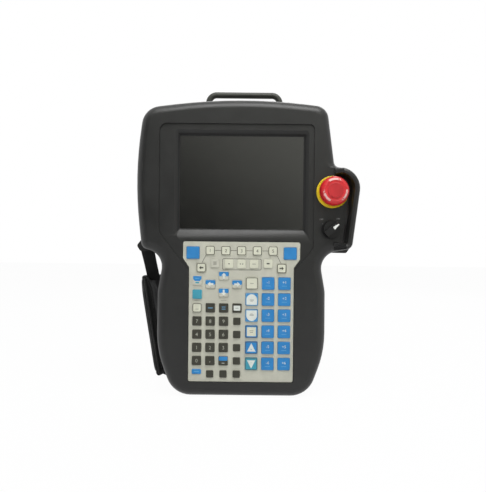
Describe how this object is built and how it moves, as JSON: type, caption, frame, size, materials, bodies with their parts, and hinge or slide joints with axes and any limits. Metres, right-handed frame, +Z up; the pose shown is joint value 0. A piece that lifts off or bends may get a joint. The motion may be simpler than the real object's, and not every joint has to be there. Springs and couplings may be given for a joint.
{
  "type": "teach pendant",
  "caption": "Handheld machine teach pendant with a tinted screen, membrane keypad, guarded emergency stop, enable selector, rear enabling levers, wire hanger and hand strap.",
  "frame": {"origin": "middle of the flat bottom edge, in the parting plane of the two case halves", "axes": "+Z up towards the hanger, -Y out of the screen and keys, +X towards the emergency stop"},
  "size_m": [0.2373, 0.1016, 0.3376],
  "materials": {
    "case_plastic": "fine moulded texture",
    "seal_rubber": "soft black",
    "screw_steel": "zinc plated",
    "window": "hard-coated tinted acrylic",
    "frame_sheet": "pressed sheet",
    "circuit_board": "solder mask",
    "key_sheet": "printed membrane",
    "key_blue": "printed, domed",
    "key_teal": "printed, domed",
    "key_pale": "printed, domed",
    "dome_silicone": "translucent mat",
    "estop_yellow": "moulded",
    "estop_red": "moulded",
    "black_plastic": "moulded",
    "pointer_white": "paint-filled",
    "lever_plastic": "moulded",
    "hanger_metal": "dark coated steel bar",
    "webbing": "woven",
    "pad_fabric": "knitted cover over foam",
    "receptacle_metal": "nickel plated",
    "pin_brass": "gold flashed"
  },
  "bodies": {
    "case": {"front_housing": "case_plastic", "rear_housing": "case_plastic", "housing_seal": "seal_rubber", "housing_screws": "screw_steel", "display_window": "window", "display_module": "frame_sheet", "display_bracket": "frame_sheet", "inner_screws": "screw_steel", "main_board": "circuit_board", "key_sheet": "key_sheet", "dome_mat": "dome_silicone", "keypad_board": "circuit_board", "estop_collar": "estop_yellow", "estop_nut": "black_plastic", "estop_contact_block": "black_plastic", "knob_ring": "black_plastic", "enable_switch": "black_plastic", "lever_pins": "screw_steel", "lever_switches": "black_plastic", "hanger": "hanger_metal", "hanger_screws": "screw_steel", "strap_webbing": "webbing", "strap_pad": "pad_fabric", "receptacle_shell": "receptacle_metal", "receptacle_insert": "black_plastic", "receptacle_pins": "pin_brass"},
    "estop_stem": {"estop_stem": "black_plastic"},
    "estop_cap": {"estop_cap": "estop_red"},
    "enable_knob": {"enable_knob": "black_plastic", "enable_pointer": "pointer_white"},
    "lever_left": {"lever_left": "lever_plastic"},
    "lever_right": {"lever_right": "lever_plastic"},
    "plunger_left": {"plunger_left": "black_plastic"},
    "plunger_right": {"plunger_right": "black_plastic"},
    "key_shift_left": {"key_shift_left": "key_blue"},
    "key_shift_right": {"key_shift_right": "key_blue"},
    "key_previous": {"key_previous": "key_blue"},
    "key_next": {"key_next": "key_blue"},
    "key_arrow_up": {"key_arrow_up": "key_blue"},
    "key_arrow_left": {"key_arrow_left": "key_blue"},
    "key_arrow_right": {"key_arrow_right": "key_blue"},
    "key_arrow_down": {"key_arrow_down": "key_blue"},
    "key_run_1": {"key_run_1": "key_pale"},
    "key_run_2": {"key_run_2": "key_blue"},
    "key_run_3": {"key_run_3": "key_blue"},
    "key_run_4": {"key_run_4": "key_blue"},
    "key_run_5": {"key_run_5": "key_blue"},
    "key_run_6": {"key_run_6": "key_teal"},
    "key_jog_minus_1": {"key_jog_minus_1": "key_blue"},
    "key_jog_minus_2": {"key_jog_minus_2": "key_blue"},
    "key_jog_minus_3": {"key_jog_minus_3": "key_blue"},
    "key_jog_minus_4": {"key_jog_minus_4": "key_blue"},
    "key_jog_minus_5": {"key_jog_minus_5": "key_blue"},
    "key_jog_minus_6": {"key_jog_minus_6": "key_blue"},
    "key_jog_plus_1": {"key_jog_plus_1": "key_blue"},
    "key_jog_plus_2": {"key_jog_plus_2": "key_blue"},
    "key_jog_plus_3": {"key_jog_plus_3": "key_blue"},
    "key_jog_plus_4": {"key_jog_plus_4": "key_blue"},
    "key_jog_plus_5": {"key_jog_plus_5": "key_blue"},
    "key_jog_plus_6": {"key_jog_plus_6": "key_blue"}
  },
  "joints": [
    {"name": "estop_push", "type": "slide", "parent": "case", "child": "estop_stem", "axis": [0, 1, 0], "range_m": [0, 0.004]},
    {"name": "estop_twist", "type": "hinge", "parent": "estop_stem", "child": "estop_cap", "pos_m": [0.095, -0.036, 0.2177], "axis": [0, 1, 0], "range_deg": [0, 45], "stiffness_Nm_per_rad": 0.02},
    {"name": "enable_turn", "type": "hinge", "parent": "case", "child": "enable_knob", "pos_m": [0.0938, -0.03, 0.1781], "axis": [0, -1, 0], "range_deg": [0, 95]},
    {"name": "lever_left_squeeze", "type": "hinge", "parent": "case", "child": "lever_left", "pos_m": [-0.047, 0.021, 0.149], "axis": [-1, 0, 0], "range_deg": [0, 3.4], "stiffness_Nm_per_rad": 5, "springref_deg": -2.86},
    {"name": "plunger_left_slide", "type": "slide", "parent": "case", "child": "plunger_left", "axis": [0, -1, 0], "range_m": [0, 0.0041]},
    {"name": "lever_right_squeeze", "type": "hinge", "parent": "case", "child": "lever_right", "pos_m": [0.047, 0.021, 0.149], "axis": [-1, 0, 0], "range_deg": [0, 3.4], "stiffness_Nm_per_rad": 5, "springref_deg": -2.86},
    {"name": "plunger_right_slide", "type": "slide", "parent": "case", "child": "plunger_right", "axis": [0, -1, 0], "range_m": [0, 0.0041]},
    {"name": "key_shift_left_press", "type": "slide", "parent": "case", "child": "key_shift_left", "axis": [0, 1, 0], "range_m": [0, 0.0008], "stiffness_N_per_m": 300, "springref_m": -0.0006},
    {"name": "key_shift_right_press", "type": "slide", "parent": "case", "child": "key_shift_right", "axis": [0, 1, 0], "range_m": [0, 0.0008], "stiffness_N_per_m": 300, "springref_m": -0.0006},
    {"name": "key_previous_press", "type": "slide", "parent": "case", "child": "key_previous", "axis": [0, 1, 0], "range_m": [0, 0.0008], "stiffness_N_per_m": 300, "springref_m": -0.0006},
    {"name": "key_next_press", "type": "slide", "parent": "case", "child": "key_next", "axis": [0, 1, 0], "range_m": [0, 0.0008], "stiffness_N_per_m": 300, "springref_m": -0.0006},
    {"name": "key_arrow_up_press", "type": "slide", "parent": "case", "child": "key_arrow_up", "axis": [0, 1, 0], "range_m": [0, 0.0008], "stiffness_N_per_m": 300, "springref_m": -0.0006},
    {"name": "key_arrow_left_press", "type": "slide", "parent": "case", "child": "key_arrow_left", "axis": [0, 1, 0], "range_m": [0, 0.0008], "stiffness_N_per_m": 300, "springref_m": -0.0006},
    {"name": "key_arrow_right_press", "type": "slide", "parent": "case", "child": "key_arrow_right", "axis": [0, 1, 0], "range_m": [0, 0.0008], "stiffness_N_per_m": 300, "springref_m": -0.0006},
    {"name": "key_arrow_down_press", "type": "slide", "parent": "case", "child": "key_arrow_down", "axis": [0, 1, 0], "range_m": [0, 0.0008], "stiffness_N_per_m": 300, "springref_m": -0.0006},
    {"name": "key_run_1_press", "type": "slide", "parent": "case", "child": "key_run_1", "axis": [0, 1, 0], "range_m": [0, 0.0008], "stiffness_N_per_m": 300, "springref_m": -0.0006},
    {"name": "key_run_2_press", "type": "slide", "parent": "case", "child": "key_run_2", "axis": [0, 1, 0], "range_m": [0, 0.0008], "stiffness_N_per_m": 300, "springref_m": -0.0006},
    {"name": "key_run_3_press", "type": "slide", "parent": "case", "child": "key_run_3", "axis": [0, 1, 0], "range_m": [0, 0.0008], "stiffness_N_per_m": 300, "springref_m": -0.0006},
    {"name": "key_run_4_press", "type": "slide", "parent": "case", "child": "key_run_4", "axis": [0, 1, 0], "range_m": [0, 0.0008], "stiffness_N_per_m": 300, "springref_m": -0.0006},
    {"name": "key_run_5_press", "type": "slide", "parent": "case", "child": "key_run_5", "axis": [0, 1, 0], "range_m": [0, 0.0008], "stiffness_N_per_m": 300, "springref_m": -0.0006},
    {"name": "key_run_6_press", "type": "slide", "parent": "case", "child": "key_run_6", "axis": [0, 1, 0], "range_m": [0, 0.0008], "stiffness_N_per_m": 300, "springref_m": -0.0006},
    {"name": "key_jog_minus_1_press", "type": "slide", "parent": "case", "child": "key_jog_minus_1", "axis": [0, 1, 0], "range_m": [0, 0.0008], "stiffness_N_per_m": 300, "springref_m": -0.0006},
    {"name": "key_jog_minus_2_press", "type": "slide", "parent": "case", "child": "key_jog_minus_2", "axis": [0, 1, 0], "range_m": [0, 0.0008], "stiffness_N_per_m": 300, "springref_m": -0.0006},
    {"name": "key_jog_minus_3_press", "type": "slide", "parent": "case", "child": "key_jog_minus_3", "axis": [0, 1, 0], "range_m": [0, 0.0008], "stiffness_N_per_m": 300, "springref_m": -0.0006},
    {"name": "key_jog_minus_4_press", "type": "slide", "parent": "case", "child": "key_jog_minus_4", "axis": [0, 1, 0], "range_m": [0, 0.0008], "stiffness_N_per_m": 300, "springref_m": -0.0006},
    {"name": "key_jog_minus_5_press", "type": "slide", "parent": "case", "child": "key_jog_minus_5", "axis": [0, 1, 0], "range_m": [0, 0.0008], "stiffness_N_per_m": 300, "springref_m": -0.0006},
    {"name": "key_jog_minus_6_press", "type": "slide", "parent": "case", "child": "key_jog_minus_6", "axis": [0, 1, 0], "range_m": [0, 0.0008], "stiffness_N_per_m": 300, "springref_m": -0.0006},
    {"name": "key_jog_plus_1_press", "type": "slide", "parent": "case", "child": "key_jog_plus_1", "axis": [0, 1, 0], "range_m": [0, 0.0008], "stiffness_N_per_m": 300, "springref_m": -0.0006},
    {"name": "key_jog_plus_2_press", "type": "slide", "parent": "case", "child": "key_jog_plus_2", "axis": [0, 1, 0], "range_m": [0, 0.0008], "stiffness_N_per_m": 300, "springref_m": -0.0006},
    {"name": "key_jog_plus_3_press", "type": "slide", "parent": "case", "child": "key_jog_plus_3", "axis": [0, 1, 0], "range_m": [0, 0.0008], "stiffness_N_per_m": 300, "springref_m": -0.0006},
    {"name": "key_jog_plus_4_press", "type": "slide", "parent": "case", "child": "key_jog_plus_4", "axis": [0, 1, 0], "range_m": [0, 0.0008], "stiffness_N_per_m": 300, "springref_m": -0.0006},
    {"name": "key_jog_plus_5_press", "type": "slide", "parent": "case", "child": "key_jog_plus_5", "axis": [0, 1, 0], "range_m": [0, 0.0008], "stiffness_N_per_m": 300, "springref_m": -0.0006},
    {"name": "key_jog_plus_6_press", "type": "slide", "parent": "case", "child": "key_jog_plus_6", "axis": [0, 1, 0], "range_m": [0, 0.0008], "stiffness_N_per_m": 300, "springref_m": -0.0006}
  ],
  "couplings": [
    {"joint": "plunger_left_slide", "follows": "lever_left_squeeze", "m_per_rad": 0.069},
    {"joint": "plunger_right_slide", "follows": "lever_right_squeeze", "m_per_rad": 0.069}
  ]
}
